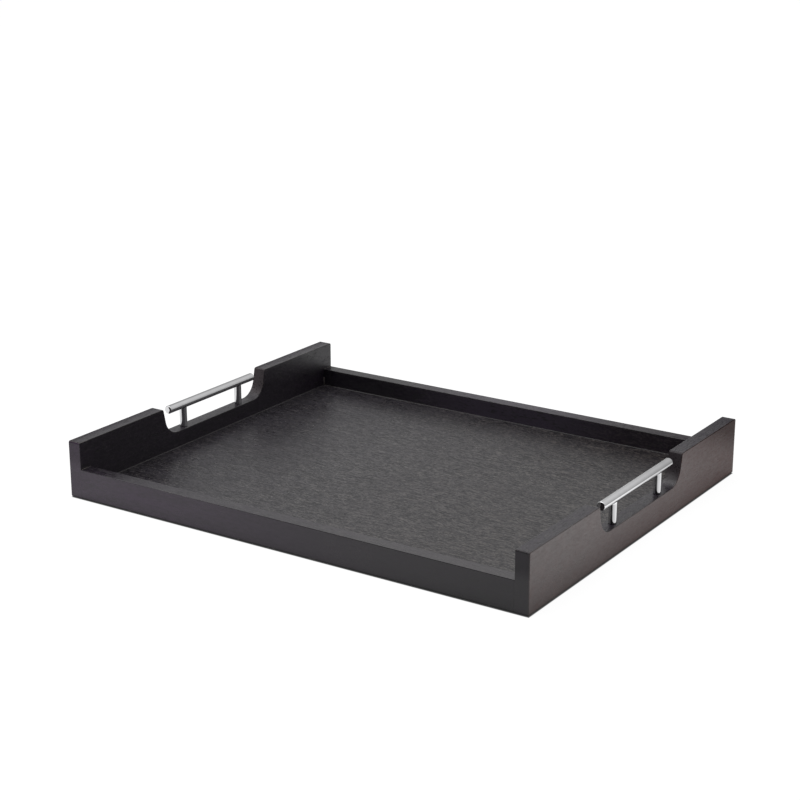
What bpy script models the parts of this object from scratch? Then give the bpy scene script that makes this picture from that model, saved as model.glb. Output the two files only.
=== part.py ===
"""Butlers tray: a low dark wooden tray with taller notched end boards and a bar handle in each notch.

Metres. +X runs along the tray's length, +Y to its back and +Z up. The origin is the middle of the
footprint, on the surface that the tray stands on.

Two end boards run the full depth, and two lower rails are dowelled between them. A thin base panel
sits in a groove round the inside. Each end board is notched from above for a bar on two posts, and
a machine screw comes up through the wood under the notch into each post.
"""
import math

import bmesh
import bpy
from mathutils import Matrix

# Frame of the tray
tray_length = 0.540
tray_depth = 0.440
board_thickness = 0.015
board_height = 0.061
rail_thickness = 0.015
rail_height = 0.032
edge_round = 0.0005
top_corner_radius = 0.002
foot_round = 0.0022

# Base panel in its groove
panel_thickness = 0.006
panel_ground_gap = 0.006
groove_depth = 0.004

# Bar handle
bar_length = 0.146
bar_diameter = 0.009
bar_end_round = 0.0005
bar_overhang = 0.025
post_diameter = 0.008
post_foot_round = 0.0003
handle_height = 0.0295
spigot_diameter = 0.005
spigot_height = 0.0035
spigot_root = 0.002

# Notch that holds the handle
bar_setback = 0.0015
bar_end_room = 0.016
notch_corner_radius = 0.020
notch_rim_radius = 0.0025
notch_flare = math.radians(12)

# Handle screws, up from the board's lower edge
screw_diameter = 0.004
screw_engagement = 0.010
screw_tip_chamfer = 0.0006
screw_head_diameter = 0.008
screw_head_height = 0.0026
screw_head_rim = 0.0009
recess_span = 0.0042
recess_width = 0.0009
recess_depth = 0.0014
head_clearance = 0.0007
counterbore_roof = 0.001
tap_drill_room = 0.0015
drill_point_angle = math.radians(31)

# Corner dowels
dowel_diameter = 0.006
dowel_length = 0.030
dowel_chamfer = 0.0008
dowel_in_board_share = 0.65
dowel_height_shares = (0.25, 0.75)

# Clearance between pieces that touch, and how far a cutter runs past a face
fit_gap = 0.0003
cut_overrun = 0.002

# Facets
arc_steps = 10
rim_steps = 4
round_sides = 40
small_sides = 24
dome_steps = 5
ease_segments = 2
weld_distance = 0.00001
smooth_angle = math.radians(30)
crease_angle = math.radians(40)

# Places worked out from the sizes above
board_x = (tray_length - board_thickness) / 2
rail_y = (tray_depth - rail_thickness) / 2
inner_length = tray_length - 2 * board_thickness
inner_depth = tray_depth - 2 * rail_thickness
panel_height = panel_ground_gap + panel_thickness / 2
notch_floor = board_height - bar_setback - handle_height
bar_rise = handle_height - bar_diameter / 2
post_pitch = bar_length - 2 * bar_overhang
dowel_depth_in_board = board_thickness * dowel_in_board_share
dowel_y = tray_depth / 2 - (rail_thickness - groove_depth) / 2
dowel_x = inner_length / 2 + dowel_depth_in_board - dowel_length / 2
counterbore_depth = panel_ground_gap - counterbore_roof
screw_seat = counterbore_depth - fit_gap
screw_length = notch_floor - counterbore_depth + screw_engagement
tap_depth = screw_engagement - 2 * fit_gap + tap_drill_room


def new_collection(name):
    """Makes a collection in the scene."""
    collection = bpy.data.collections.new(name)
    bpy.context.scene.collection.children.link(collection)
    return collection


def clear_scene():
    """Removes whatever the file opened with."""
    for thing in list(bpy.data.objects):
        bpy.data.objects.remove(thing, do_unlink=True)


def linear(share):
    """Linear value of an sRGB share."""
    return share / 12.92 if share <= 0.04045 else ((share + 0.055) / 1.055) ** 2.4


def new_material(name, red, green, blue, roughness, metallic=0.0):
    """Principled material from an sRGB colour in 0 to 255."""
    material = bpy.data.materials.new(name)
    material.use_nodes = True
    shader = material.node_tree.nodes["Principled BSDF"]
    colour = [linear(level / 255) for level in (red, green, blue)]
    shader.inputs["Base Color"].default_value = (*colour, 1)
    shader.inputs["Roughness"].default_value = roughness
    shader.inputs["Metallic"].default_value = metallic
    material.diffuse_color = (*colour, 1)
    return material


def finished_mesh(name, shape):
    """Turns an editable shape into a mesh."""
    mesh = bpy.data.meshes.new(name)
    shape.to_mesh(mesh)
    shape.free()
    return mesh


def box_mesh(name, size):
    """Box of the given size about its middle."""
    shape = bmesh.new()
    bmesh.ops.create_cube(shape, size=1, matrix=Matrix.Diagonal((*size, 1)))
    return finished_mesh(name, shape)


def cylinder_mesh(name, diameter, length, sides):
    """Cylinder along Z about its middle."""
    shape = bmesh.new()
    radius = diameter / 2
    bmesh.ops.create_cone(
        shape, cap_ends=True, segments=sides, radius1=radius, radius2=radius, depth=length
    )
    return finished_mesh(name, shape)


def profile_mesh(name, points):
    """Open line of (radius, height) points in the XZ plane, ready to be turned."""
    mesh = bpy.data.meshes.new(name)
    edges = [(index, index + 1) for index in range(len(points) - 1)]
    mesh.from_pydata([(radius, 0, height) for radius, height in points], edges, [])
    return mesh


def new_object(name, mesh, collection, material=None, location=(0, 0, 0), rotation=(0, 0, 0)):
    """Places a mesh as an object of its own."""
    thing = bpy.data.objects.new(name, mesh)
    collection.objects.link(thing)
    thing.location = location
    thing.rotation_euler = rotation
    if material and not mesh.materials:
        mesh.materials.append(material)
    return thing


def new_cutter(name, mesh, location=(0, 0, 0), rotation=(0, 0, 0)):
    """Places a mesh that only cuts or joins others."""
    cutter = new_object(name, mesh, cutters, None, location, rotation)
    cutter.display_type = "WIRE"
    cutter.hide_render = True
    return cutter


def turn(thing, sides):
    """Turns the object's profile round its Z axis."""
    screw = thing.modifiers.new("turn", "SCREW")
    screw.steps = sides
    screw.render_steps = sides
    screw.use_merge_vertices = True
    screw.merge_threshold = weld_distance


def ease(thing, width, method="ANGLE", segments=ease_segments):
    """Rounds the object's edges by a small width, or chamfers them with one segment."""
    bevel = thing.modifiers.new("ease", "BEVEL")
    bevel.width = width
    bevel.segments = segments
    bevel.limit_method = method
    bevel.angle_limit = crease_angle


def even_shading(thing):
    """Keeps the flat faces between eased edges looking flat."""
    normals = thing.modifiers.new("even_shading", "WEIGHTED_NORMAL")
    normals.keep_sharp = True


def combine(thing, other, operation="DIFFERENCE"):
    """Cuts the object with another, or joins the two."""
    boolean = thing.modifiers.new(other.name, "BOOLEAN")
    boolean.operation = operation
    boolean.object = other


def mark_eased_edges(mesh, share_of):
    """Gives each sharp edge the share of the bevel's width that the rule says."""
    shape = bmesh.new()
    shape.from_mesh(mesh)
    weight = shape.edges.layers.float.new("bevel_weight_edge")
    for edge in shape.edges:
        start, end = (vertex.co for vertex in edge.verts)
        sharp = edge.calc_face_angle(0) > crease_angle
        edge[weight] = share_of(start, end) if sharp else 0
    shape.to_mesh(mesh)
    shape.free()


def evaluated_mesh(thing, name):
    """Mesh of the object with its modifiers done."""
    graph = bpy.context.evaluated_depsgraph_get()
    mesh = bpy.data.meshes.new_from_object(thing.evaluated_get(graph))
    mesh.name = name
    return mesh


def smooth(mesh):
    """Shades round surfaces smooth and keeps real edges sharp."""
    mesh.shade_smooth()
    mesh.set_sharp_from_angle(angle=smooth_angle)


def baked(thing, name):
    """Turns a pattern object with modifiers into a plain mesh that its copies share."""
    mesh = evaluated_mesh(thing, name)
    smooth(mesh)
    bpy.data.objects.remove(thing, do_unlink=True)
    return mesh


def arc(centre, radius, start, end, steps):
    """Points along an arc, both ends included, with angles in radians."""
    points = []
    for index in range(steps + 1):
        angle = start + (end - start) * index / steps
        points.append((centre[0] + radius * math.cos(angle), centre[1] + radius * math.sin(angle)))
    return points


def half_board_outline():
    """Outline of an end board's back half in (depth, height), from its lower corner to its middle.

    The notch has a flat floor, a large round at each lower corner, sides that lean outwards and a
    slightly rounded rim. The board's own corners are slightly rounded too.
    """
    edge_y = tray_depth / 2
    rim_y = bar_length / 2 + bar_end_room
    lean = math.tan(notch_flare)
    corner_z = notch_floor + notch_corner_radius
    corner_y = rim_y - (board_height - corner_z) * lean - notch_corner_radius / math.cos(notch_flare)
    rim_z = board_height - notch_rim_radius
    rim_centre_y = rim_y - notch_rim_radius * lean + notch_rim_radius / math.cos(notch_flare)
    rim = arc((rim_centre_y, rim_z), notch_rim_radius, math.pi / 2, math.pi - notch_flare, rim_steps)
    corner = arc((corner_y, corner_z), notch_corner_radius, -notch_flare, -math.pi / 2, arc_steps)
    foot = arc((edge_y - foot_round, foot_round), foot_round, -math.pi / 2, 0, rim_steps)
    top_centre = (edge_y - top_corner_radius, board_height - top_corner_radius)
    top = arc(top_centre, top_corner_radius, 0, math.pi / 2, rim_steps)
    return foot + top + rim + corner


def end_board_mesh():
    """Notched board as a mesh, from a flat outline extruded to the board's thickness."""
    half = half_board_outline()
    outline = half + [(-depth, height) for depth, height in reversed(half)]
    curve = bpy.data.curves.new("end_board_outline", "CURVE")
    curve.dimensions = "2D"
    curve.fill_mode = "BOTH"
    curve.extrude = board_thickness / 2
    spline = curve.splines.new("POLY")
    spline.points.add(len(outline) - 1)
    for point, (depth, height) in zip(spline.points, outline):
        point.co = (depth, height, 0, 1)
    spline.use_cyclic_u = True
    guide = new_object("end_board_outline", curve, cutters)
    bpy.context.view_layer.update()
    mesh = evaluated_mesh(guide, "end_board")
    bpy.data.objects.remove(guide, do_unlink=True)
    shape = bmesh.new()
    shape.from_mesh(mesh)
    bmesh.ops.remove_doubles(shape, verts=shape.verts, dist=weld_distance)
    shape.normal_update()
    inside_a_cap = [
        edge for edge in shape.edges if all(round(abs(face.normal.z)) for face in edge.link_faces)
    ]
    bmesh.ops.dissolve_edges(shape, edges=inside_a_cap)
    shape.to_mesh(mesh)
    shape.free()
    return mesh


def new_foot_cutter(side):
    """Cutter that rounds the whole lower outer edge of an end board.

    Its round runs a little past both faces, so that it crosses them and doesn't only touch them.
    """
    face_x = tray_length / 2
    centre = (side * (face_x - foot_round), foot_round)
    end = 0 if side > 0 else -math.pi
    points = arc(centre, foot_round, -math.pi / 2, end, rim_steps)
    inner, first, last, outer = points[0], points[1], points[-2], points[-1]
    points[0] = (2 * inner[0] - first[0], 2 * inner[1] - first[1])
    points[-1] = (2 * outer[0] - last[0], 2 * outer[1] - last[1])
    points.append((points[-1][0], points[0][1]))
    reach = tray_depth / 2 + cut_overrun
    shape = bmesh.new()
    near = [shape.verts.new((x, -reach, z)) for x, z in points]
    far = [shape.verts.new((x, reach, z)) for x, z in points]
    shape.faces.new(near)
    shape.faces.new(far)
    for index in range(len(points)):
        shape.faces.new((near[index - 1], near[index], far[index], far[index - 1]))
    bmesh.ops.recalc_face_normals(shape, faces=shape.faces)
    mesh = finished_mesh("foot_round", shape)
    smooth(mesh)
    return new_cutter("foot_round", mesh)


def make_end_boards(panel_groove, dowel_holes, screw_holes):
    """Both end boards, each cut for the base panel, its dowels and its handle's screws."""
    for side, name in ((-1, "end_board_left"), (1, "end_board_right")):
        mesh = end_board_mesh()
        mark_eased_edges(mesh, lambda start, end: abs(start.z - end.z) < weld_distance)
        smooth(mesh)
        board = new_object(
            name, mesh, parts, board_finish, (side * board_x, 0, 0), (math.pi / 2, 0, math.pi / 2)
        )
        board.parent = tray
        ease(board, edge_round, "WEIGHT")
        combine(board, new_foot_cutter(side))
        combine(board, panel_groove)
        for hole in dowel_holes[side] + screw_holes[side]:
            combine(board, hole)
        even_shading(board)


def make_rails(panel_groove, dowel_holes):
    """Front and back rails between the end boards, eased along their length only."""
    length = inner_length - 2 * fit_gap
    size = (length, rail_thickness, rail_height)
    for side, name in ((-1, "front_rail"), (1, "back_rail")):

        def ease_share(start, end):
            """Rounds the lower outer edge well, and only eases the other long edges."""
            if abs(start.x - end.x) < length / 2:
                return 0
            return 1 if start.z < 0 < start.y * side else edge_round / foot_round

        mesh = box_mesh(name, size)
        mark_eased_edges(mesh, ease_share)
        smooth(mesh)
        rail = new_object(name, mesh, parts, rail_finish, (0, side * rail_y, rail_height / 2))
        rail.parent = tray
        ease(rail, foot_round, "WEIGHT", rim_steps)
        combine(rail, panel_groove)
        for hole in dowel_holes[-1] + dowel_holes[1]:
            if hole.location.y * side > 0:
                combine(rail, hole)
        even_shading(rail)


def make_base_panel():
    """Flat veneered panel, held by its edges in the groove."""
    reach = 2 * (groove_depth - fit_gap)
    mesh = box_mesh("base_panel", (inner_length + reach, inner_depth + reach, panel_thickness))
    panel = new_object("base_panel", mesh, parts, panel_finish, (0, 0, panel_height))
    panel.parent = tray


def make_panel_groove():
    """Cutter for the groove that takes the base panel, shared by boards and rails."""
    size = (
        inner_length + 2 * groove_depth,
        inner_depth + 2 * groove_depth,
        panel_thickness + 2 * fit_gap,
    )
    return new_cutter("panel_groove", box_mesh("panel_groove", size), (0, 0, panel_height))


def dowel_places():
    """Corner, end and place of every dowel."""
    places = []
    for side, end in ((-1, "left"), (1, "right")):
        for face, edge in ((-1, "front"), (1, "back")):
            for share, level in zip(dowel_height_shares, ("lower", "upper")):
                name = f"dowel_{edge}_{end}_{level}"
                places.append((name, side, (side * dowel_x, face * dowel_y, rail_height * share)))
    return places


def make_dowel_holes():
    """Cutters that bore the end boards and the rails for the dowels, listed by end."""
    mesh = cylinder_mesh(
        "dowel_hole", dowel_diameter + 2 * fit_gap, dowel_length + 2 * fit_gap, small_sides
    )
    holes = {-1: [], 1: []}
    for name, side, place in dowel_places():
        holes[side].append(new_cutter(f"hole_of_{name}", mesh, place, (0, math.pi / 2, 0)))
    return holes


def make_dowels():
    """Two glued dowels in each corner."""
    pattern = new_object(
        "dowel_pattern",
        cylinder_mesh("dowel_pattern", dowel_diameter, dowel_length, small_sides),
        cutters,
    )
    ease(pattern, dowel_chamfer, segments=1)
    mesh = baked(pattern, "dowel")
    for name, _, place in dowel_places():
        dowel = new_object(name, mesh, parts, dowel_finish, place, (0, math.pi / 2, 0))
        dowel.parent = tray


def post_places():
    """Names and depths of the two posts of a handle."""
    return (("front", -post_pitch / 2), ("back", post_pitch / 2))


def make_screw_holes():
    """Stepped cutters for the handle screws: a clearance hole over a counterbore, listed by end."""
    hole_radius = screw_diameter / 2 + fit_gap
    bore_radius = screw_head_diameter / 2 + head_clearance
    top = notch_floor + cut_overrun
    profile = [
        (0, top),
        (hole_radius, top),
        (hole_radius, counterbore_depth),
        (bore_radius, counterbore_depth),
        (bore_radius, -cut_overrun),
        (0, -cut_overrun),
    ]
    mesh = profile_mesh("screw_hole", profile)
    holes = {-1: [], 1: []}
    for side, end in ((-1, "left"), (1, "right")):
        for edge, depth in post_places():
            hole = new_cutter(f"screw_hole_{end}_{edge}", mesh, (side * board_x, depth, 0))
            turn(hole, small_sides)
            holes[side].append(hole)
    return holes


def bar_mesh():
    """Straight round bar along Y with eased ends and a socket over each post."""
    bar = new_object(
        "bar_pattern", cylinder_mesh("bar_pattern", bar_diameter, bar_length, round_sides), cutters
    )
    bar.rotation_euler = (math.pi / 2, 0, 0)
    ease(bar, bar_end_round)
    socket_depth = spigot_height + fit_gap
    socket_length = socket_depth + cut_overrun
    socket_shape = cylinder_mesh(
        "spigot_socket", spigot_diameter + 2 * fit_gap, socket_length, small_sides
    )
    socket_z = socket_depth - bar_diameter / 2 - socket_length / 2
    for edge, depth in post_places():
        combine(bar, new_cutter(f"spigot_socket_{edge}", socket_shape, (0, depth, socket_z)))
    bpy.context.view_layer.update()
    mesh = evaluated_mesh(bar, "handle_bar")
    mesh.transform(bar.matrix_world)
    smooth(mesh)
    bpy.data.objects.remove(bar, do_unlink=True)
    return mesh


def post_mesh():
    """Turned post: a tapped hole in its foot, a saddle for the bar and a spigot that enters it."""
    radius = post_diameter / 2
    tap_radius = screw_diameter / 2 + fit_gap
    drill_tip = tap_radius * math.tan(drill_point_angle)
    profile = [
        (0, bar_rise),
        (radius, bar_rise),
        (radius, post_foot_round),
        (radius - post_foot_round, 0),
        (tap_radius, 0),
        (tap_radius, tap_depth),
        (0, tap_depth + drill_tip),
    ]
    post = new_object("post_pattern", profile_mesh("post_pattern", profile), cutters)
    turn(post, round_sides)
    saddle = cylinder_mesh(
        "saddle", bar_diameter + 2 * fit_gap, post_diameter + 2 * cut_overrun, round_sides
    )
    saddle_z = bar_rise - fit_gap
    combine(post, new_cutter("saddle", saddle, (0, 0, saddle_z), (math.pi / 2, 0, 0)))
    spigot_top = saddle_z - bar_diameter / 2 + spigot_height
    spigot_foot = saddle_z - bar_diameter / 2 - fit_gap - spigot_root
    spigot = cylinder_mesh("spigot", spigot_diameter, spigot_top - spigot_foot, small_sides)
    spigot_middle = (spigot_top + spigot_foot) / 2
    combine(post, new_cutter("spigot", spigot, (0, 0, spigot_middle)), "UNION")
    bpy.context.view_layer.update()
    return baked(post, "handle_post")


def screw_mesh():
    """Machine screw, head down, with its seat at height zero and a cross recess in its domed head."""
    radius = screw_diameter / 2
    head_radius = screw_head_diameter / 2
    dome = screw_head_height - screw_head_rim
    shank = [
        (0, screw_length),
        (radius - screw_tip_chamfer, screw_length),
        (radius, screw_length - screw_tip_chamfer),
        (radius, 0),
        (head_radius, 0),
    ]
    head = []
    for index in range(dome_steps + 1):
        angle = math.pi / 2 * index / dome_steps
        head.append((head_radius * math.cos(angle), -screw_head_rim - dome * math.sin(angle)))
    head[-1] = (0, -screw_head_height)
    screw = new_object("screw_pattern", profile_mesh("screw_pattern", shank + head), cutters)
    turn(screw, small_sides)
    blade_height = recess_depth + cut_overrun
    blade_z = recess_depth - screw_head_height - blade_height / 2
    blade = box_mesh("recess_blade", (recess_span, recess_width, blade_height))
    for name, angle in (("recess_blade_long", 0), ("recess_blade_cross", math.pi / 2)):
        combine(screw, new_cutter(name, blade, (0, 0, blade_z), (0, 0, angle)))
    bpy.context.view_layer.update()
    return baked(screw, "handle_screw")


def make_handles():
    """A bar, two posts and two screws at each end, parented to the end's own empty."""
    bar_shape = bar_mesh()
    post_shape = post_mesh()
    screw_shape = screw_mesh()
    for side, end in ((-1, "left"), (1, "right")):
        handle = bpy.data.objects.new(f"handle_{end}", None)
        parts.objects.link(handle)
        handle.location = (side * board_x, 0, notch_floor)
        handle.parent = tray
        bar = new_object(f"handle_bar_{end}", bar_shape, parts, bar_finish, (0, 0, bar_rise))
        bar.parent = handle
        for edge, depth in post_places():
            post = new_object(
                f"handle_post_{end}_{edge}", post_shape, parts, post_finish, (0, depth, fit_gap)
            )
            post.parent = handle
            screw = new_object(
                f"handle_screw_{end}_{edge}",
                screw_shape,
                parts,
                screw_finish,
                (0, depth, screw_seat - notch_floor),
            )
            screw.parent = handle


clear_scene()
parts = new_collection("butlers_tray")
cutters = new_collection("cutters")
tray = bpy.data.objects.new("tray", None)
parts.objects.link(tray)

board_finish = new_material("end_board_black_stain", 74, 69, 69, 0.42)
rail_finish = new_material("rail_black_stain", 72, 67, 70, 0.42)
panel_finish = new_material("panel_black_veneer", 70, 69, 70, 0.50)
bar_finish = new_material("bar_chrome", 205, 205, 208, 0.12, 1.0)
post_finish = new_material("post_chrome", 208, 208, 210, 0.10, 1.0)
screw_finish = new_material("zinc_plated_steel", 186, 188, 190, 0.35, 1.0)
dowel_finish = new_material("beech", 205, 170, 125, 0.60)

groove_cutter = make_panel_groove()
dowel_hole_cutters = make_dowel_holes()
screw_hole_cutters = make_screw_holes()
make_end_boards(groove_cutter, dowel_hole_cutters, screw_hole_cutters)
make_rails(groove_cutter, dowel_hole_cutters)
make_base_panel()
make_dowels()
make_handles()
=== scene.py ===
import math

import bmesh
import bpy
from mathutils import Matrix, Vector


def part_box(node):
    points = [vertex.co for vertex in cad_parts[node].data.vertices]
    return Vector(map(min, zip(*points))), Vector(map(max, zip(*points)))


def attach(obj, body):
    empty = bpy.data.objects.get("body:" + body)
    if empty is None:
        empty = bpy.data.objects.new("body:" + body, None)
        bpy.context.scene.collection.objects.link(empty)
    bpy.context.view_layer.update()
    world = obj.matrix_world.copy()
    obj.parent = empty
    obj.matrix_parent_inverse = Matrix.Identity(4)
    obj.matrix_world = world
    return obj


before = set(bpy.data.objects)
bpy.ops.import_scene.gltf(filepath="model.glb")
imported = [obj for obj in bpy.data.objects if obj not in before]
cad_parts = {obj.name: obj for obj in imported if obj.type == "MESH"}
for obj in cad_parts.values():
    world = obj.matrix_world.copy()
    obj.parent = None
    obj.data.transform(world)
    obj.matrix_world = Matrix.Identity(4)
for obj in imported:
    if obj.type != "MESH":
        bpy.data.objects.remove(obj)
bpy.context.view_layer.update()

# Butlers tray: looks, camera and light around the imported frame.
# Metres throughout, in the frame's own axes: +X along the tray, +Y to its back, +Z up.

# Places read from the frame
board_inner_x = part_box("end_board_right")[0].x
board_outer_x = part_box("end_board_right")[1].x
board_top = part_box("end_board_right")[1].z
rail_end_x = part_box("front_rail")[1].x
rail_outer_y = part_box("back_rail")[1].y
rail_inner_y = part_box("back_rail")[0].y
rail_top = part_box("front_rail")[1].z
base_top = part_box("base_panel")[1].z
bar_low, bar_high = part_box("handle_bar_right")
bar_x = (bar_low.x + bar_high.x) / 2
bar_z = (bar_low.z + bar_high.z) / 2
bar_radius = (bar_high.z - bar_low.z) / 2
bar_end = bar_high.y

# Camera, fitted to the tray's edges in the photograph
camera_place = (0.98238, -1.50424, 0.67177)
camera_azimuth = math.radians(33.41)
camera_elevation = math.radians(17.853)
camera_roll = math.radians(-0.028)
camera_lens = 82.24
camera_clip = (0.01, 50.0)
sensor_width = 36.0

# Light on surfaces
world_diffuse = 0.35
floor_on_surfaces = 0.50
lamp_place = (-0.5, -0.4, 1.7)
lamp_size = 1.8
lamp_power = 26

# Room that the gloss mirrors: its brightness low, high and overhead, then in front, low and high,
# and the share that it lacks at the upper left
room_low = 0.52
room_high = 0.76
room_top = 1.00
room_front = 0.05
room_front_high = 1.00
left_room_loss = 0.26

# Parts of a direction, x, y or z, over which the room changes
room_rise_z = (-0.05, 0.70)
room_left_x = (-0.60, -0.05)
room_left_z = (0.38, 0.48)
room_top_z = (0.62, 0.95)
room_behind_y = (-0.45, 0.25)
room_front_z = (0.30, 0.75)

# Floor
floor_drop = 0.0002
floor_reach = 6.0
floor_albedo = 0.10
shadow_reach = 0.14
shadow_samples = 8
white = (1.0, 1.0, 1.0, 1.0)

# Floor as the camera sees it: in and out of the painted soft shadow, and the painted shadow line under the
# foot
seen_shadow = (0.93, 0.97)
seen_foot = (-0.0004, 0.0008)
seen_foot_shadow_level = 0.05

# Floor as the gloss mirrors it, with painted light and shade: spans in x and y, and its brightness or the
# change of it over them
gloss_x = (-0.45, 0.35)
gloss_levels = (1.15, 0.85)
gloss_right_x = (0.26, 0.37)
gloss_right_y = (0.08, 0.40)
gloss_right_change = (0.22, -0.65)
gloss_left_x = (-0.27, -0.30)
gloss_left_y = (-0.32, -0.22)
gloss_left_painted_shade = 0.22
gloss_shadow = (0.1, 1.0)
gloss_shadow_level = 0.45
gloss_foot = (-0.001, 0.006)
gloss_foot_shadow_level = 0.20
gloss_beside = (-0.002, 0.0)
gloss_beside_rise = (0.0, 0.065)
gloss_beside_change = (-0.24, 0.22)

# Shading of the meshes
weld_distance = 0.00001
smooth_angle = math.radians(50)


def linear(level):
    """Linear value of an sRGB level from 0 to 255."""
    share = level / 255
    return share / 12.92 if share <= 0.04045 else ((share + 0.055) / 1.055) ** 2.4


def colour(red, green, blue):
    """Linear colour of sRGB levels from 0 to 255."""
    return (linear(red), linear(green), linear(blue), 1.0)


class Nodes:
    """Adds shader nodes to a tree."""

    def __init__(self, tree):
        self.tree = tree

    def feed(self, socket, value):
        """Links a socket to another, or sets its value."""
        if isinstance(value, bpy.types.NodeSocket):
            self.tree.links.new(value, socket)
        else:
            socket.default_value = value

    def add(self, kind, inputs=None, **settings):
        """Adds a node with its settings and inputs."""
        made = self.tree.nodes.new(kind)
        for key, value in settings.items():
            setattr(made, key, value)
        for key, value in (inputs or {}).items():
            self.feed(made.inputs[key], value)
        return made

    def math(self, operation, first, second=0.0, clamp=False):
        """One number from one or two others."""
        made = self.add("ShaderNodeMath", {0: first, 1: second}, operation=operation)
        made.use_clamp = clamp
        return made.outputs[0]

    def product(self, first, *others):
        """Product of numbers."""
        for other in others:
            first = self.math("MULTIPLY", first, other)
        return first

    def total(self, first, *others):
        """Sum of numbers."""
        for other in others:
            first = self.math("ADD", first, other)
        return first

    def less(self, value, other, clamp=False):
        """One number less another."""
        return self.math("SUBTRACT", value, other, clamp)

    def rest(self, share):
        """What a share leaves of 1."""
        return self.less(1.0, share)

    def larger(self, first, second):
        """The larger of two numbers."""
        return self.math("MAXIMUM", first, second)

    def unsigned(self, value):
        """A number without its sign."""
        return self.math("ABSOLUTE", value)

    def vector(self, operation, first, second=(0, 0, 0)):
        """One vector from two others."""
        return self.add("ShaderNodeVectorMath", {0: first, 1: second}, operation=operation).outputs[0]

    def ramp(self, value, low, high, low_out=0.0, high_out=1.0):
        """Maps a number from one range to another, smoothly and clamped."""
        made = self.add(
            "ShaderNodeMapRange",
            {"Value": value, "From Min": low, "From Max": high, "To Min": low_out, "To Max": high_out},
            interpolation_type="SMOOTHSTEP",
        )
        return made.outputs["Result"]

    def blend(self, share, first, second, kind="MIX"):
        """Mixes two colours."""
        made = self.add("ShaderNodeMix", data_type="RGBA", blend_type=kind)
        self.feed(made.inputs["Factor"], share)
        self.feed(made.inputs[6], first)
        self.feed(made.inputs[7], second)
        return made.outputs[2]

    def grey(self, level):
        """Colour whose three parts are one number."""
        return self.add("ShaderNodeCombineColor", {0: level, 1: level, 2: level}).outputs[0]

    def split(self, vector):
        """The three parts of a vector."""
        return self.add("ShaderNodeSeparateXYZ", {0: vector}).outputs

    def object_place(self):
        """Place on the object, in metres."""
        return self.add("ShaderNodeTexCoord").outputs["Object"]

    def noise(self, place, fineness, detail, roughness):
        """Noise from 0 to 1, with its features a metre given, for each axis or for all."""
        if isinstance(fineness, (int, float)):
            fineness = (fineness, fineness, fineness)
        scaled = self.vector("MULTIPLY", place, fineness)
        made = self.add(
            "ShaderNodeTexNoise",
            {"Vector": scaled, "Scale": 1.0, "Detail": detail, "Roughness": roughness},
        )
        return made.outputs["Fac"]

    def ray_kinds(self):
        """1 for a ray from the camera, 1 for one by gloss or through glass, and 1 for any other."""
        path = self.add("ShaderNodeLightPath").outputs
        camera = path["Is Camera Ray"]
        shown = self.larger(path["Is Glossy Ray"], path["Is Transmission Ray"])
        return camera, shown, self.rest(self.larger(camera, shown))


class Finish(Nodes):
    """Builds the nodes of one procedural material."""

    def __init__(self, name):
        self.material = bpy.data.materials.new(name)
        self.material.use_nodes = True
        super().__init__(self.material.node_tree)
        self.shader = self.tree.nodes["Principled BSDF"]
        self.place = self.object_place()

    def locate(self):
        """Finds the parts of the place and of the face's normal."""
        self.parts = self.split(self.place)
        self.normal = self.split(self.add("ShaderNodeNewGeometry").outputs["True Normal"])

    def surface(self, **values):
        """Feeds the shader's base colour, roughness and sheen, which is its specular level."""
        names = {"base_color": "Base Color", "roughness": "Roughness", "sheen": "Specular IOR Level"}
        for key, value in values.items():
            self.feed(self.shader.inputs[names[key]], value)

    def raise_by(self, height, strength, distance):
        """Bump from a height, fed to the shader."""
        bump = self.add("ShaderNodeBump", {"Height": height, "Strength": strength, "Distance": distance})
        self.feed(self.shader.inputs["Normal"], bump.outputs["Normal"])
        return bump


# Tones of the stained wood. Outer fronts and ends: one end of the tray, its other end, and patches.
# How much lighter these outer faces are than the inner ones, and their change along them, is painted light.
front_tones_and_painted_light = (colour(50, 32, 55), colour(17, 14, 18), colour(30, 22, 32))
side_tones_and_painted_light = (colour(60, 41, 40), colour(75, 42, 39), colour(71, 46, 44))
left_side_tone = colour(36, 29, 33)
# Painted shade toward the ends' upper back corner.
corner_painted_shade_tone = colour(20, 14, 14)
# Notch ends: painted light makes them lighter at the left handle than at the right.
cut_tones_and_painted_light = (colour(63, 57, 60), colour(47, 42, 45))
inner_tones = (colour(19, 12, 23), colour(28, 19, 32))
panel_tones = (colour(17, 13, 20), colour(41, 38, 44))
# Painted light amid the back rail's inner face, and the left board's painted shadow at its left end.
back_middle_painted_light = colour(44, 37, 49)
back_left_painted_shadow = colour(10, 7, 13)
warm_tint = (1.0, 0.97, 0.88, 1.0)
mark_tones = (colour(90, 86, 86), colour(9, 8, 10), colour(150, 145, 140))
pore_tone = colour(5, 4, 5)
edge_tone = colour(12, 11, 12)
# Painted highlight on the upward eased rim of the boards' inner top edges.
rubbed_tone = colour(96, 90, 88)
rim_painted_highlight = colour(128, 122, 120)

# Noise of the wood's grain: features a metre along it and across it, detail and roughness
figure_grain = (7, 90, 4.0, 0.6)
streak_grain = (130, 430, 3.0, 0.7)
fibre_grain = (90, 1500, 2.0, 0.55)
pore_grain = (120, 620, 2.0, 0.55)
short_fleck_grain = (300, 900, 1.5, 0.7)
long_fleck_grain = (70, 620, 2.0, 0.6)

# Noise of marks without a direction: features a metre, detail and roughness
speck_marks = (430, 1.0, 0.55)
rub_marks = (120, 3.0, 0.55)
mottle_marks = (70, 4.0, 0.6)
patch_marks = (16, 3.0, 0.55)

# Slow sway of the grain
sway_scale = 9.0
sway_detail = 2.0
sway_reach = 0.012

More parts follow.
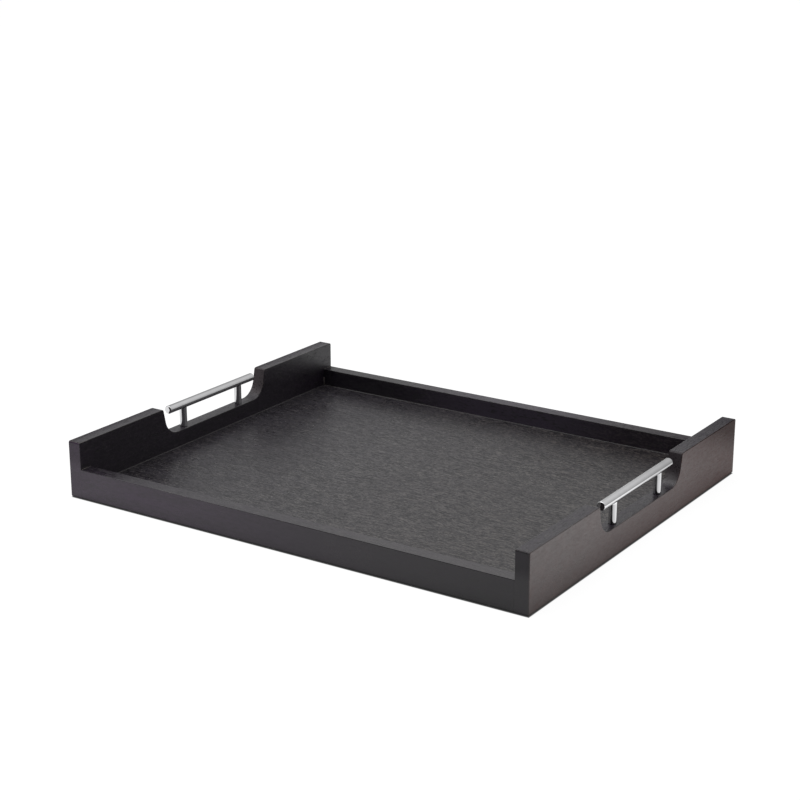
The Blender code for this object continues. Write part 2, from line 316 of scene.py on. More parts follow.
# Ranges of noise over which a mark shows
pore_range = (0.58, 0.66)
light_fleck_range = (0.50, 0.62)
dark_fleck_range = (0.50, 0.38)
speck_range = (0.74, 0.80)
rub_range = (0.60, 0.68)
mottle_range = (0.38, 0.66)
inner_tone_range = (0.38, 0.62)
front_tone_range = (0.36, 0.64)

streak_range = (0.30, 0.70)
patch_range = (0.35, 0.65)
middle_noise = 0.5

# Ranges of the normal's parts: what counts as top, as across the grain and as an edge
top_range = (0.90, 0.97)
across_range = (0.04, 0.55)
eased_range = (0.9990, 0.97)
rim_range = (0.55, 0.90)
upward_range = (0.1, 0.3)
board_edge_range = (0.02, 0.06)

# Depths under the outer faces, the inner rims and a single face within which a point counts as there
skin_depths = (0.0010, 0.0002)
rim_depths = (0.003, 0.002)
face_depths = (0.0002, 0.0001)

# Heights around the rails' top over which the boards' upper parts begin
under_rail_top = 0.002
upper_fade = 0.014
cut_fade = 0.004

# How strongly marks and tones show
figure_share = 0.4
streak_share = 0.6
short_fleck_share = 0.7
long_fleck_share = 0.55
fleck_calm = (0.55, 1.10)
pore_share = 0.8
front_patch_share = 0.7
side_cloud_share = 0.55
left_side_share = 0.8
corner_painted_shade_share = 0.4
back_left_shadow_share = 0.7
edge_share = 0.8
rubbed_share = 0.5
rim_highlight_share = 0.15

# What marks and faces do to the roughness
streak_roughness = 0.06
patch_roughness = 0.02
pore_roughness = 0.2
fleck_roughness = 0.3
outside_polish = 0.08

# What faces and places do to the sheen, which is the specular level. Apart from the end grain's loss,
# these gains and losses by place are painted reflection, brightening or dimming the wood's gloss.
plain_sheen = 0.5
end_grain_loss = 0.16
inner_end_loss = 0.17
far_top_painted_dimming = 0.40
near_side_painted_gleam = 0.11
far_side_painted_dimming = 0.19
corner_painted_dimming = 0.7
outer_top_painted_dimming = 0.75
top_margin = 0.001
crisp_painted_shade = 0.85

# What marks do to the relief
fibre_height = 0.3
streak_height = 0.7
fleck_height = 2.0
pore_depth = 0.5
outside_flatness = 0.6
wood_bump = 0.6

# Spans along the tray's length, in x, over which a look changes
front_painted_light_x = (-0.24, 0.20)
cut_painted_light_x = (-0.1, 0.1)
warm_x = (-0.15, 0.25)
back_middle_light_x = ((-0.15, -0.02), (0.16, 0.04))
back_left_shadow_x = (-0.10, -0.18)
left_side_x = (0.0, -0.1)
fleck_calm_x = (-0.20, 0.00)
far_right_x = (0.0, 0.25)
near_top_x = (-0.20, 0.18)
left_painted_dimming_x = (-0.24, -0.05)
front_crisp_x = (-0.15, 0.05)

# Spans along its depth, in y
side_painted_light_y = (-0.22, 0.24)
far_right_y = (0.00, 0.22)
near_top_y = (-0.05, -0.18)
near_side_y = (0.06, -0.16)
far_side_y = (0.08, 0.21)
side_crisp_y = (0.06, 0.09)

# Slanted span at the right board's back corner, in y plus a multiple of z, where painted shade darkens tone
# and sheen
painted_shade_slant = 2.59
painted_shade_span = (0.262, 0.345)


class StainedWood(Finish):
    """Black stained wood: short open pores along the grain, long figure, patches and rubbed edges.

    along is 0 for grain along X and 1 for grain along Y, and flecks is how strongly short grain marks
    it. The frame's outer faces and the notches' ends have tones of their own, the same on each piece,
    so that a face runs on over a joint. These tones hold painted light: the outer faces are lighter than
    the inner ones, and the notch ends are lighter at the left handle than at the right.
    """

    def __init__(self, name, along, flecks):
        super().__init__(name)
        self.along = along
        self.flecks = flecks
        self.locate()
        self.find_grain()
        self.find_places()

    def grain(self, long_way, across, detail, roughness):
        """Noise drawn out along the grain."""
        fineness = (long_way, across, across) if self.along == 0 else (across, long_way, across)
        return self.noise(self.swayed, fineness, detail, roughness)

    def find_grain(self):
        """Marks of the grain, and marks without a direction."""
        inputs = {"Vector": self.place, "Scale": sway_scale, "Detail": sway_detail}
        sway = self.add("ShaderNodeTexNoise", inputs).outputs["Color"]
        sway = self.vector("SUBTRACT", sway, (middle_noise, middle_noise, middle_noise))
        sway = self.vector("MULTIPLY", sway, (sway_reach, sway_reach, sway_reach))
        self.swayed = self.vector("ADD", self.place, sway)
        self.streak = self.grain(*streak_grain)
        self.fibre = self.grain(*fibre_grain)
        self.pore = self.ramp(self.grain(*pore_grain), *pore_range)
        figure = self.grain(*figure_grain)
        self.tone = self.total(
            self.product(figure, figure_share), self.product(self.streak, streak_share)
        )
        short_fleck = self.less(self.grain(*short_fleck_grain), middle_noise)
        long_fleck = self.less(self.grain(*long_fleck_grain), middle_noise)
        both = self.total(
            self.product(short_fleck, short_fleck_share), self.product(long_fleck, long_fleck_share)
        )
        calm = self.ramp(self.parts[0], *fleck_calm_x, *fleck_calm)
        self.fleck = self.total(middle_noise, self.product(both, calm))
        self.light_fleck = self.ramp(self.fleck, *light_fleck_range)
        self.dark_fleck = self.ramp(self.fleck, *dark_fleck_range)
        self.speck = self.ramp(self.noise(self.place, *speck_marks), *speck_range)
        self.rub = self.ramp(self.noise(self.place, *rub_marks), *rub_range)
        self.mottle = self.noise(self.place, *mottle_marks)
        self.patches = self.noise(self.place, *patch_marks)

    def eased_edge(self):
        """1 on a rounded edge and 0 on faces that lie square to an axis."""
        largest = self.unsigned(self.normal[0])
        for part in self.normal[1:]:
            largest = self.larger(largest, self.unsigned(part))
        return self.ramp(largest, *eased_range)

    def find_places(self):
        """Shares, from 0 to 1, by which a point belongs to each region of the frame."""
        x, y, z = self.parts[0], self.parts[1], self.parts[2]
        deep, shallow = skin_depths
        start = rail_top - under_rail_top
        self.side = self.ramp(self.unsigned(x), board_outer_x - deep, board_outer_x - shallow)
        self.front = self.ramp(self.unsigned(y), rail_outer_y - deep, rail_outer_y - shallow)
        self.outside = self.larger(self.side, self.front)
        self.inside = self.rest(self.outside)
        self.sunk = self.product(self.pore, self.product(self.inside, pore_share))
        self.top = self.ramp(self.normal[2], *top_range)
        self.upper = self.ramp(z, start, rail_top + upper_fade)
        across_grain = self.ramp(self.unsigned(self.normal[1]), *across_range)
        self.cut = self.product(across_grain, self.ramp(z, start, rail_top + cut_fade))
        self.end_grain = self.larger(
            self.product(self.upper, across_grain), self.product(self.cut, self.inside)
        )
        self.edge = self.eased_edge()
        if self.along == 1:
            off_square = self.ramp(self.unsigned(self.normal[0]), *board_edge_range)
            self.edge = self.product(self.edge, off_square)
        # Painted shade: the ends' outer faces darker toward their upper back corner.
        slanted = self.total(y, self.product(z, painted_shade_slant))
        self.corner = self.product(self.side, self.ramp(slanted, *painted_shade_span))

    def outer_colours_and_painted_light(self):
        """Colours of the fronts and the ends, with painted light: lighter than the inner faces, and changing
        along them.
        """
        x, y = self.parts[0], self.parts[1]
        # Painted light: the fronts lighter at the left end than at the right.
        front = self.blend(self.ramp(x, *front_painted_light_x), front_tones_and_painted_light[0], front_tones_and_painted_light[1])
        patch = self.product(self.ramp(self.tone, *front_tone_range), front_patch_share)
        front = self.blend(patch, front, front_tones_and_painted_light[2])
        # Painted light: the ends' outer faces lighter than the inner ones, changing in tone from near to far.
        side = self.blend(self.ramp(y, *side_painted_light_y), side_tones_and_painted_light[0], side_tones_and_painted_light[1])
        cloud = self.product(self.ramp(self.mottle, *mottle_range), side_cloud_share)
        side = self.blend(cloud, side, side_tones_and_painted_light[2])
        side = self.blend(self.ramp(x, *left_side_x, 0.0, left_side_share), side, left_side_tone)
        # Painted shade at the upper back corner of the ends.
        side = self.blend(self.product(self.corner, corner_painted_shade_share), side, corner_painted_shade_tone)
        return front, side

    def long_grain_colour(self, base):
        """Colour where the grain runs along X: warmer to the right, with painted light amid the back rail's
        face and a painted shadow at its left end.
        """
        x, y = self.parts[0], self.parts[1]
        base = self.blend(self.ramp(x, *warm_x), base, warm_tint, "MULTIPLY")
        back_face = self.ramp(y, rail_inner_y - face_depths[0], rail_inner_y - face_depths[1])
        # Painted light amid the back rail's inner face.
        rising, falling = back_middle_light_x
        middle = self.product(self.ramp(x, *rising), self.ramp(x, *falling))
        base = self.blend(self.product(back_face, middle), base, back_middle_painted_light)
        # Painted shadow of the left board at the back rail's left end.
        left_shadow = self.product(back_face, self.ramp(x, *back_left_shadow_x, 0.0, back_left_shadow_share))
        return self.blend(left_shadow, base, back_left_painted_shadow)

    def paint(self, inner):
        """Base colour, with two tones for the wood in general."""
        x, z = self.parts[0], self.parts[2]
        base = self.blend(self.ramp(self.tone, *inner_tone_range), inner[0], inner[1])
        for mark, tone in zip((self.light_fleck, self.dark_fleck, self.speck), mark_tones):
            base = self.blend(self.product(mark, self.flecks), base, tone)
        if self.along == 0:
            base = self.long_grain_colour(base)
        front, side = self.outer_colours_and_painted_light()
        # Painted light: the notch ends lighter at the left handle than at the right.
        cut = self.blend(self.ramp(x, *cut_painted_light_x), cut_tones_and_painted_light[0], cut_tones_and_painted_light[1])
        base = self.blend(self.cut, base, cut)
        base = self.blend(self.front, base, front)
        base = self.blend(self.side, base, side)
        base = self.blend(self.sunk, base, pore_tone)
        base = self.blend(self.product(self.edge, edge_share), base, edge_tone)
        base = self.blend(self.product(self.edge, self.rub, rubbed_share), base, rubbed_tone)
        # Painted highlight: a light line on the upward part of the boards' inner top rims.
        deep, shallow = rim_depths
        rim_highlight = self.product(
            self.ramp(self.unsigned(x), board_inner_x + deep, board_inner_x + shallow),
            self.ramp(z, board_top - deep, board_top - shallow),
            self.ramp(self.normal[2], *rim_range),
            self.edge,
            rim_highlight_share,
        )
        self.surface(base_color=self.blend(rim_highlight, base, rim_painted_highlight))

    def polish(self, roughness, top_polish):
        """Roughness, with how much smoother the top is."""
        rough = self.total(
            self.ramp(
                self.streak, *streak_range, roughness - streak_roughness, roughness + streak_roughness
            ),
            self.ramp(self.patches, *patch_range, -patch_roughness, patch_roughness),
            self.product(self.sunk, pore_roughness),
            self.product(self.dark_fleck, self.flecks * fleck_roughness),
        )
        rough = self.less(rough, self.product(self.outside, outside_polish), clamp=True)
        self.surface(roughness=self.less(rough, self.product(self.top, top_polish), clamp=True))

    def gleam(self, near_top_painted_gleam, left_painted_dimming):
        """Specular level, with painted reflection by place, such as the gain of the near right top and the
        share that the left lacks.
        """
        x, y = self.parts[0], self.parts[1]
        end_loss = self.total(end_grain_loss, self.product(self.inside, inner_end_loss))
        sheen = self.less(plain_sheen, self.product(self.end_grain, end_loss))
        # Painted reflection: the tops dimmer toward the far right.
        far_right = self.product(self.ramp(x, *far_right_x), self.ramp(y, *far_right_y))
        sheen = self.less(sheen, self.product(self.top, far_right, far_top_painted_dimming))
        # Painted reflection: the near tops brighter toward the right.
        near_top = self.product(self.top, self.ramp(x, *near_top_x), self.ramp(y, *near_top_y))
        sheen = self.total(sheen, self.product(near_top, near_top_painted_gleam))
        # Painted reflection: the ends' outer faces brighter near the front and dimmer toward the back.
        along_side = self.total(
            self.ramp(y, *near_side_y, 0.0, near_side_painted_gleam), self.ramp(y, *far_side_y, 0.0, -far_side_painted_dimming)
        )
        sheen = self.total(sheen, self.product(self.side, along_side))
        # Painted shade in the reflection at the upper back corner of the ends.
        sheen = self.product(sheen, self.rest(self.product(self.corner, corner_painted_dimming)))
        # Painted reflection: dimmer toward the left end.
        sheen = self.product(sheen, self.ramp(x, *left_painted_dimming_x, 1.0 - left_painted_dimming, 1.0))
        # Painted reflection: the left board's top dimmer toward its outer edge.
        inner, outer = -board_inner_x - top_margin, -board_outer_x + top_margin
        outward = self.ramp(x, inner, outer, 0.0, outer_top_painted_dimming)
        sheen = self.product(sheen, self.rest(self.product(self.top, self.upper, outward)))
        # Painted shade: the upward eased edges of the fronts, to the right, and of the ends, toward the back,
        # lose sheen in a dark line.
        crisp = self.product(self.front, self.ramp(x, *front_crisp_x))
        crisp = self.larger(crisp, self.product(self.side, self.ramp(y, *side_crisp_y)))
        crisp = self.product(crisp, self.product(self.edge, self.ramp(self.normal[2], *upward_range)))
        self.surface(sheen=self.product(sheen, self.rest(self.product(crisp, crisp_painted_shade))))

    def emboss(self, relief):
        """Bump of the grain, as high as relief."""
        height = self.total(
            self.product(self.fibre, fibre_height),
            self.product(self.streak, streak_height),
            self.product(self.fleck, self.flecks * fleck_height),
        )
        height = self.less(height, self.product(self.sunk, pore_depth))
        height = self.product(height, self.rest(self.product(self.outside, outside_flatness)))
        self.raise_by(height, wood_bump, relief)


def stained_wood(name, along, flecks, inner, roughness, top_polish, near_top_painted_gleam, left_painted_dimming, relief):
    """Material of StainedWood, whose methods say what each number does."""
    wood = StainedWood(name, along, flecks)
    wood.paint(inner)
    wood.polish(roughness, top_polish)
    wood.gleam(near_top_painted_gleam, left_painted_dimming)
    wood.emboss(relief)
    return wood.material


# Broken lines and turned wood: noise of their marks, the range over which these show, roughness and bump
break_marks = (150, 3.0, 0.55)
break_range = (0.42, 0.60)
line_roughness = (0.45, 0.6)
line_bump = (0.4, 0.0001)
turned_marks = ((40, 900, 900), 4.0, 0.55)
turned_range = (0.3, 0.7)
turned_roughness = (0.5, 0.65)
turned_bump = (0.4, 0.00006)


def broken_line(name, dark, light):
    """Thin line of two tones, broken up along its length."""
    finish = Finish(name)
    breaks = finish.ramp(finish.noise(finish.place, *break_marks), *break_range)
    finish.surface(
        base_color=finish.blend(breaks, dark, light),
        roughness=finish.ramp(breaks, 0.0, 1.0, *line_roughness),
    )
    finish.raise_by(breaks, *line_bump)
    return finish.material


def plain_wood(name, dark, light):
    """Bare turned wood of the dowels."""
    finish = Finish(name)
    grain = finish.noise(finish.place, *turned_marks)
    finish.surface(
        base_color=finish.blend(finish.ramp(grain, *turned_range), dark, light),
        roughness=finish.ramp(grain, *turned_range, *turned_roughness),
    )
    finish.raise_by(grain, *turned_bump)
    return finish.material


# Plating: where and by how much painted reflection darkens it
crown_range = (0.66, 0.82)
crown_painted_dimming = 0.15
back_bar_y = (-0.03, 0.07)
back_bar_painted_dimming = 0.24
underside_range = (-0.3, 0.1)
bar_margin = 0.0001

# Right posts: a level direction, and the painted reflection's tone by how far a side of them is turned that
# way
post_turn = (0.86, 0.51)
post_falling = (-0.55, -0.35, 1.0, 0.15)
post_rising = (-0.30, 0.20, 0.0, 0.47)
post_bright = (0.45, 0.80, 0.0, 0.28)

# Left bar's inward half of each end: how far out it starts to round, in radii, and by how much it tilts
dome_radii = (0.40, 0.75)
dome_tilt = 1.2
inward_radii = (0.1, 0.5)

# Tint of gloss at grazing angles, from the left handle to the right one: painted reflection, dimmer on the
# left
grazing_painted_reflection = (0.6, 0.95)
handles_apart_x = (-0.1, 0.1)

# Clouds and hairlines of the polish
cloud_marks = (90, 4.0, 0.55)
cloud_tone_range = (0.35, 0.70)
cloud_rough_range = (0.30, 0.70)
cloud_roughness = 0.03
hair_marks = ((900, 60, 900), 2.0, 0.55)
hair_range = (0.45, 0.75)
hair_roughness = 0.02
hair_bump = (0.03, 0.00001)


def plating_painted_reflection(finish):
    """Grey of painted reflection that darkens the plating: the left bar's crown, the right bar toward the
    back, and all below it.

    Below the right bar it makes a dark line on the posts, for what they mirror in the photograph's room.
    """
    x, y, z = finish.parts[0], finish.parts[1], finish.parts[2]
    normal = finish.normal
    right = finish.math("GREATER_THAN", x, 0.0)
    on_bar = finish.math("GREATER_THAN", z, bar_z - bar_radius - bar_margin)
    crown = finish.product(finish.rest(right), finish.ramp(normal[2], *crown_range, 0.0, crown_painted_dimming))
    back = finish.product(
        right, finish.ramp(y, *back_bar_y, 0.0, back_bar_painted_dimming), on_bar,
        finish.ramp(normal[2], *underside_range),
    )
    turned = finish.total(finish.product(normal[0], post_turn[0]), finish.product(normal[1], post_turn[1]))
    post = finish.total(*(finish.ramp(turned, *step) for step in (post_falling, post_rising, post_bright)))
    lower = finish.product(right, finish.rest(on_bar))
    tone = finish.less(finish.less(1.0, crown), back)
    return finish.grey(finish.less(tone, finish.product(lower, finish.rest(post))))


def rounded_ends(finish):
    """Normal that tilts outward on the inward halves of the left bar's flat ends."""
    x, y, z = finish.parts[0], finish.parts[1], finish.parts[2]
    from_axis = finish.product(finish.less(finish.unsigned(x), bar_x), finish.math("SIGN", x))
    out = finish.add("ShaderNodeCombineXYZ", {0: from_axis, 2: finish.less(z, bar_z)}).outputs[0]
    away = finish.add("ShaderNodeVectorMath", {0: out}, operation="LENGTH").outputs["Value"]
    start, full = (share * bar_radius for share in dome_radii)
    low, high = (share * bar_radius for share in inward_radii)
    tilt = finish.product(
        finish.ramp(away, start, full, 0.0, dome_tilt),
        finish.ramp(finish.unsigned(y), bar_end - face_depths[0], bar_end - face_depths[1]),
        finish.product(finish.ramp(from_axis, low, high), finish.math("LESS_THAN", x, 0.0)),
    )
    lean = finish.add("ShaderNodeCombineXYZ", {0: tilt}).outputs[0]
    flat = finish.add("ShaderNodeNewGeometry").outputs["Normal"]
    return finish.vector("NORMALIZE", finish.vector("ADD", flat, lean))


def polished_metal(name, tint, dull, roughness, round_left=False):
    """Plated metal: faint cloudy polish, fine hairlines and a slightly duller tone in the clouds.

    With round_left, the flat ends of the left bar are shaded as rounded over at their inward rims.
    """
    finish = Finish(name)
    finish.locate()
    finish.shader.inputs["Metallic"].default_value = 1.0
    clouds = finish.noise(finish.place, *cloud_marks)
    hair = finish.noise(finish.place, *hair_marks)
    base = finish.blend(finish.ramp(clouds, *cloud_tone_range), tint, dull)
    rough = finish.total(
        finish.ramp(clouds, *cloud_rough_range, roughness - cloud_roughness, roughness + cloud_roughness),
        finish.ramp(hair, *hair_range, 0.0, hair_roughness),
    )
    # Painted reflection darkens the plating by place.
    finish.surface(base_color=finish.blend(1.0, base, plating_painted_reflection(finish), "MULTIPLY"), roughness=rough)
    # Painted reflection: dimmer grazing gloss on the left handle.
    painted_grazing = finish.grey(finish.ramp(finish.parts[0], *handles_apart_x, *grazing_painted_reflection))
    finish.feed(finish.shader.inputs["Specular Tint"], painted_grazing)
    bump = finish.raise_by(hair, *hair_bump)
    if round_left:
        finish.feed(bump.inputs["Normal"], rounded_ends(finish))
    return finish.material


frame_looks = {"inner": inner_tones, "roughness": 0.42, "relief": 0.00012, "flecks": 0.20, "top_polish": 0.10}
board_wood = stained_wood("board_black_stain", along=1, near_top_painted_gleam=0.14, left_painted_dimming=0.0, **frame_looks)
rail_wood = stained_wood("rail_black_stain", along=0, near_top_painted_gleam=0.45, left_painted_dimming=0.0, **frame_looks)
panel_wood = stained_wood(
    "panel_black_stain", along=0, inner=panel_tones, roughness=0.31, relief=0.00028, flecks=0.75,
    top_polish=0.0, near_top_painted_gleam=0.0, left_painted_dimming=0.40,
)
bead_finish = broken_line("bead_line", colour(24, 21, 24), colour(52, 48, 50))
line_finish = broken_line("light_line", colour(44, 40, 40), colour(116, 110, 106))
beech = plain_wood("beech", colour(186, 148, 106), colour(214, 180, 138))
chrome = polished_metal("chrome", (0.72, 0.72, 0.73, 1), (0.68, 0.68, 0.69, 1), 0.07, round_left=True)
zinc = polished_metal("zinc_plate", (0.50, 0.51, 0.52, 1), (0.40, 0.41, 0.42, 1), 0.34)


def new_smoother():
    """Node group that joins the solids' faces and shades them smooth up to an angle."""
    group = bpy.data.node_groups.new("smooth_by_angle", "GeometryNodeTree")
    group.interface.new_socket("Geometry", in_out="INPUT", socket_type="NodeSocketGeometry")
    group.interface.new_socket("Geometry", in_out="OUTPUT", socket_type="NodeSocketGeometry")
    nodes = Nodes(group)
    start = nodes.add("NodeGroupInput").outputs[0]
    merged = nodes.add("GeometryNodeMergeByDistance", {"Geometry": start, "Distance": weld_distance})
    plain = nodes.add(
        "GeometryNodeRemoveAttribute", {"Geometry": merged.outputs[0], "Name": "custom_normal"}
    )
    faces = nodes.add("GeometryNodeSetShadeSmooth", {0: plain.outputs[0], "Shade Smooth": True})
    angle = nodes.add("GeometryNodeInputMeshEdgeAngle").outputs[0]
    compare = nodes.add("FunctionNodeCompare", {0: angle, 1: smooth_angle}, operation="LESS_EQUAL")
    edges = nodes.add(
        "GeometryNodeSetShadeSmooth",
        {0: faces.outputs[0], "Shade Smooth": compare.outputs[0]},
        domain="EDGE",
    )
    end = nodes.add("NodeGroupOutput")
    nodes.feed(end.inputs[0], edges.outputs[0])
    return group


smoother = new_smoother()


def shade(thing):
    """Shades a piece smooth round its curves and keeps its flats flat."""
    thing.modifiers.new("smooth_by_angle", "NODES").node_group = smoother
    normals = thing.modifiers.new("even_shading", "WEIGHTED_NORMAL")
    normals.keep_sharp = True


FINISHES = {
    "end_board": board_wood, "front_rail": rail_wood, "back_rail": rail_wood, "base_panel": panel_wood,
    "handle_bar": chrome, "handle_post": chrome, "handle_screw": zinc, "dowel": beech,
}
for name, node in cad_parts.items():
    found = next(finish for start, finish in FINISHES.items() if name.startswith(start))
    node.data.materials.clear()
    node.data.materials.append(found)
    shade(node)


def drawn(name, outline, start, end, across, up, material):
    """Adds a piece with an outline of (across, up) points, drawn out from start to end."""
    shape = bmesh.new()
    across, up = Vector(across), Vector(up)
    rings = []
    for place in (Vector(start), Vector(end)):
        rings.append([shape.verts.new(place + across * first + up * second) for first, second in outline])
        shape.faces.new(rings[-1])
    near, far = rings
    for index in range(len(outline)):
        shape.faces.new((near[index - 1], near[index], far[index], far[index - 1]))
    bmesh.ops.recalc_face_normals(shape, faces=shape.faces)
    mesh = bpy.data.meshes.new(name)
    shape.to_mesh(mesh)
    shape.free()
    mesh.materials.append(material)
    piece = bpy.data.objects.new(name, mesh)
    bpy.context.scene.collection.objects.link(piece)
    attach(piece, "root")


ends = ((-1, "left"), (1, "right"))
edges = ((-1, "front"), (1, "back"))
east, north, upward = (1, 0, 0), (0, 1, 0), (0, 0, 1)


def make_joint_fills():
    """Stained filler that closes the upright joints between the rails and the boards from outside."""
    depth, recess, above_ground = 0.004, 0.00006, 0.0004
    foot, foot_steps = 0.0022, 4
    top_round, top_round_depth = 0.0006, 0.0005
    into_rail, into_board = 0.0001, 0.0006
    for face, edge in edges:
        outer = rail_outer_y - recess
        points = [(face * (outer - depth), above_ground)]
        for index in range(foot_steps + 1):
            angle = math.pi / 2 * index / foot_steps
            points.append((
                face * (outer - foot + foot * math.sin(angle)),
                foot - foot * math.cos(angle) + recess,
            ))
        points.append((face * outer, rail_top - top_round))
        points.append((face * (outer - top_round_depth), rail_top - recess))
        points.append((face * (outer - depth), rail_top - recess))
        for side, end in ends:
            low, high = sorted((side * (rail_end_x - into_rail), side * (board_inner_x + into_board)))
            drawn(
                f"joint_fill_{edge}_{end}", points, (low, 0, 0), (high, 0, 0), north, upward,
                rail_wood,
            )


# Beads and fine light lines
bead_size = 0.0007
bead_clearance = 0.00004
hollow_wide, hollow_narrow = bead_size * 0.45, bead_size * 0.18
bead_outline = [
    (0, 0), (bead_size, 0), (hollow_wide, hollow_narrow), (hollow_narrow, hollow_wide), (0, bead_size),
]
bead_x = board_inner_x - bead_clearance
bead_y = rail_inner_y - bead_clearance
line_half_width = 0.0008
line_crown = 0.6
line_low, line_high = 0.0001, 0.0006
line_sunk = 0.0004
line_ends = (0.001, 0.0005)
corner_line_scale = 0.6
corner_line_stop = 0.010


def make_beads():
    """Thin beads, hollow on their face, that catch light as a fine line where the floor meets the frame."""
    low = base_top + bead_clearance
    for side, end in ends:
        drawn(
            f"bead_{end}", bead_outline, (side * bead_x, -bead_y, low), (side * bead_x, bead_y, low),
            (-side, 0, 0), upward, bead_finish,
        )
    reach = bead_x - bead_size
    for face, edge in edges:
        drawn(
            f"bead_{edge}", bead_outline, (-reach, face * bead_y, low), (reach, face * bead_y, low),
            (0, -face, 0), upward, bead_finish,
        )


def make_fine_lines():
    """Fine light lines on top of the two left rail joints and up the back left inner corner."""
    foot = line_half_width
    crown = foot * line_crown
    line = [(-foot, line_low), (foot, line_low), (crown, line_high), (-crown, line_high)]
    height = rail_top - line_sunk
    for face, edge in edges:
        drawn(
            f"fine_line_{edge}", line, (-board_inner_x, face * (rail_outer_y - line_ends[0]), height),
            (-board_inner_x, face * (rail_inner_y + line_ends[1]), height), east, upward, line_finish,
        )
    fine = [(first * corner_line_scale, second * corner_line_scale) for first, second in bead_outline]
    drawn(
        "fine_line_corner", fine, (-bead_x, bead_y, base_top + bead_size),
        (-bead_x, bead_y, rail_top - corner_line_stop), east, (0, -1, 0), line_finish,
    )


def place_camera():
    """The photograph's camera."""
    back = Vector((
        math.sin(camera_azimuth) * math.cos(camera_elevation),
        -math.cos(camera_azimuth) * math.cos(camera_elevation),
        math.sin(camera_elevation),
    ))
    right = (-back).cross(Vector(upward)).normalized()
    up = right.cross(-back)
    turned_right = math.cos(camera_roll) * right + math.sin(camera_roll) * up
    turned_up = math.cos(camera_roll) * up - math.sin(camera_roll) * right
    turn = Matrix((turned_right, turned_up, back)).transposed().to_4x4()
    data = bpy.data.cameras.new("camera")
    data.lens = camera_lens
    data.sensor_width = sensor_width
    data.clip_start, data.clip_end = camera_clip
    camera = bpy.data.objects.new("camera", data)
    bpy.context.scene.collection.objects.link(camera)
    camera.matrix_world = Matrix.Translation(camera_place) @ turn
    bpy.context.scene.camera = camera


def make_world():
    """White to the camera, a plain soft light on surfaces, and a soft room in the gloss.

    The room is grey near the horizon and pale above, dimmer at the upper left, and darker in front.
    """
    world = bpy.data.worlds.new("studio")
    bpy.context.scene.world = world
    world.use_nodes = True
    world.node_tree.nodes.clear()
    nodes = Nodes(world.node_tree)
    towards = nodes.split(nodes.add("ShaderNodeTexCoord").outputs["Generated"])
    room = nodes.ramp(towards[2], *room_rise_z, room_low, room_high)
    dim = nodes.product(
        nodes.ramp(towards[0], *room_left_x, left_room_loss, 0.0), nodes.ramp(towards[2], *room_left_z)
    )
    room = nodes.product(room, nodes.rest(dim))
    room = nodes.total(room, nodes.ramp(towards[2], *room_top_z, 0.0, room_top))
    behind = nodes.ramp(towards[1], *room_behind_y)
    front = nodes.ramp(towards[2], *room_front_z, room_front, room_front_high)
    room = nodes.total(nodes.product(behind, room), nodes.product(nodes.rest(behind), front))
    camera, shown, other = nodes.ray_kinds()
    strength = nodes.total(nodes.product(shown, room), camera, nodes.product(other, world_diffuse))
    light = nodes.add("ShaderNodeBackground", {"Color": white, "Strength": strength})
    out = nodes.add("ShaderNodeOutputWorld")
    nodes.feed(out.inputs[0], light.outputs[0])


def floor_seen(nodes, open_share, beyond):
    """How bright the camera sees the floor: white, with a painted soft shadow and a painted shadow line under
    the foot.
    """
    return nodes.product(
        nodes.ramp(open_share, 0.0, 1.0, *seen_shadow), nodes.ramp(beyond, *seen_foot, seen_foot_shadow_level, 1.0)
    )


def floor_in_gloss(nodes, place, open_share, beyond_x, beyond):
    """How bright the gloss mirrors the floor, as painted light and shade: it changes from side to side and is
    dim near the tray.
    """
    gloss = nodes.ramp(place[0], *gloss_x, *gloss_levels)
    right = nodes.product(
        nodes.ramp(place[0], *gloss_right_x), nodes.ramp(place[1], *gloss_right_y, *gloss_right_change)
    )
    left = nodes.product(nodes.ramp(place[0], *gloss_left_x), nodes.ramp(place[1], *gloss_left_y))
    rise = nodes.ramp(beyond_x, *gloss_beside_rise, *gloss_beside_change)
    rise = nodes.product(rise, nodes.math("GREATER_THAN", place[0], 0.0))
    return nodes.product(
        gloss,
        nodes.total(1.0, right),
        nodes.rest(nodes.product(left, gloss_left_painted_shade)),
        nodes.ramp(open_share, *gloss_shadow, gloss_shadow_level, 1.0),
        nodes.ramp(beyond, *gloss_foot, gloss_foot_shadow_level, 1.0),
        nodes.total(1.0, nodes.product(nodes.ramp(beyond_x, *gloss_beside), rise)),
    )


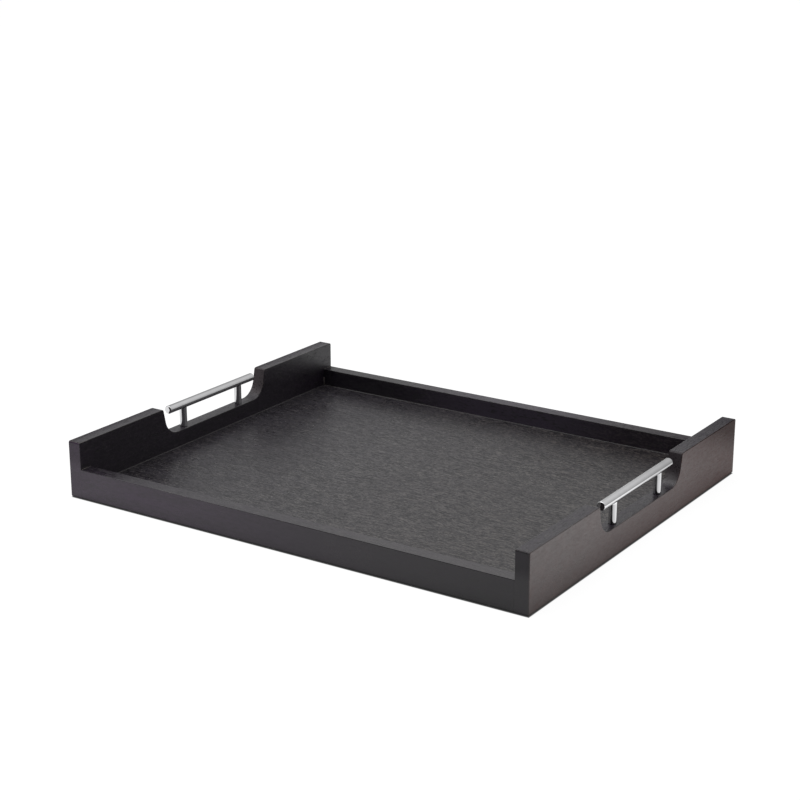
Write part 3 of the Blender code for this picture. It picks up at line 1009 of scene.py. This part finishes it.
def make_floor():
    """Pale floor that reads white and keeps the tray's soft shadow, painted into its glow and cast on its
    faint matte part. From below it is clear.
    """
    shape = bmesh.new()
    bmesh.ops.create_grid(shape, x_segments=1, y_segments=1, size=floor_reach)
    mesh = bpy.data.meshes.new("floor")
    shape.to_mesh(mesh)
    shape.free()
    floor = bpy.data.objects.new("floor", mesh)
    bpy.context.scene.collection.objects.link(floor)
    floor.location.z = -floor_drop
    material = bpy.data.materials.new("floor")
    material.use_nodes = True
    material.node_tree.nodes.clear()
    nodes = Nodes(material.node_tree)
    place = nodes.split(nodes.object_place())
    open_share = nodes.add(
        "ShaderNodeAmbientOcclusion", {"Distance": shadow_reach}, samples=shadow_samples
    ).outputs["AO"]
    beyond_x = nodes.less(nodes.unsigned(place[0]), board_outer_x)
    beyond_y = nodes.less(nodes.unsigned(place[1]), rail_outer_y)
    beyond = nodes.larger(beyond_x, beyond_y)
    camera, shown, other = nodes.ray_kinds()
    strength = nodes.total(
        nodes.product(camera, floor_seen(nodes, open_share, beyond)),
        nodes.product(shown, floor_in_gloss(nodes, place, open_share, beyond_x, beyond)),
        nodes.product(other, floor_on_surfaces),
    )
    matte = nodes.add("ShaderNodeBsdfDiffuse", {"Color": (floor_albedo, floor_albedo, floor_albedo, 1)})
    glow = nodes.add("ShaderNodeEmission", {"Color": white, "Strength": strength})
    both = nodes.add("ShaderNodeAddShader", {0: matte.outputs[0], 1: glow.outputs[0]})
    clear = nodes.add("ShaderNodeBsdfTransparent")
    below = nodes.add("ShaderNodeNewGeometry").outputs["Backfacing"]
    mix = nodes.add("ShaderNodeMixShader", {0: below, 1: both.outputs[0], 2: clear.outputs[0]})
    out = nodes.add("ShaderNodeOutputMaterial")
    nodes.feed(out.inputs[0], mix.outputs[0])
    mesh.materials.append(material)


def add_lamp():
    """Square soft lamp overhead that points at the tray's middle."""
    data = bpy.data.lights.new("overhead", "AREA")
    data.size = lamp_size
    data.energy = lamp_power
    lamp = bpy.data.objects.new("overhead", data)
    bpy.context.scene.collection.objects.link(lamp)
    lamp.location = lamp_place
    lamp.rotation_mode = "QUATERNION"
    lamp.rotation_quaternion = (-Vector(lamp_place)).to_track_quat("-Z", "Y")


place_camera()
make_world()
make_floor()
make_joint_fills()
make_beads()
make_fine_lines()
add_lamp()

view = bpy.context.scene.view_settings
view.view_transform = "Standard"
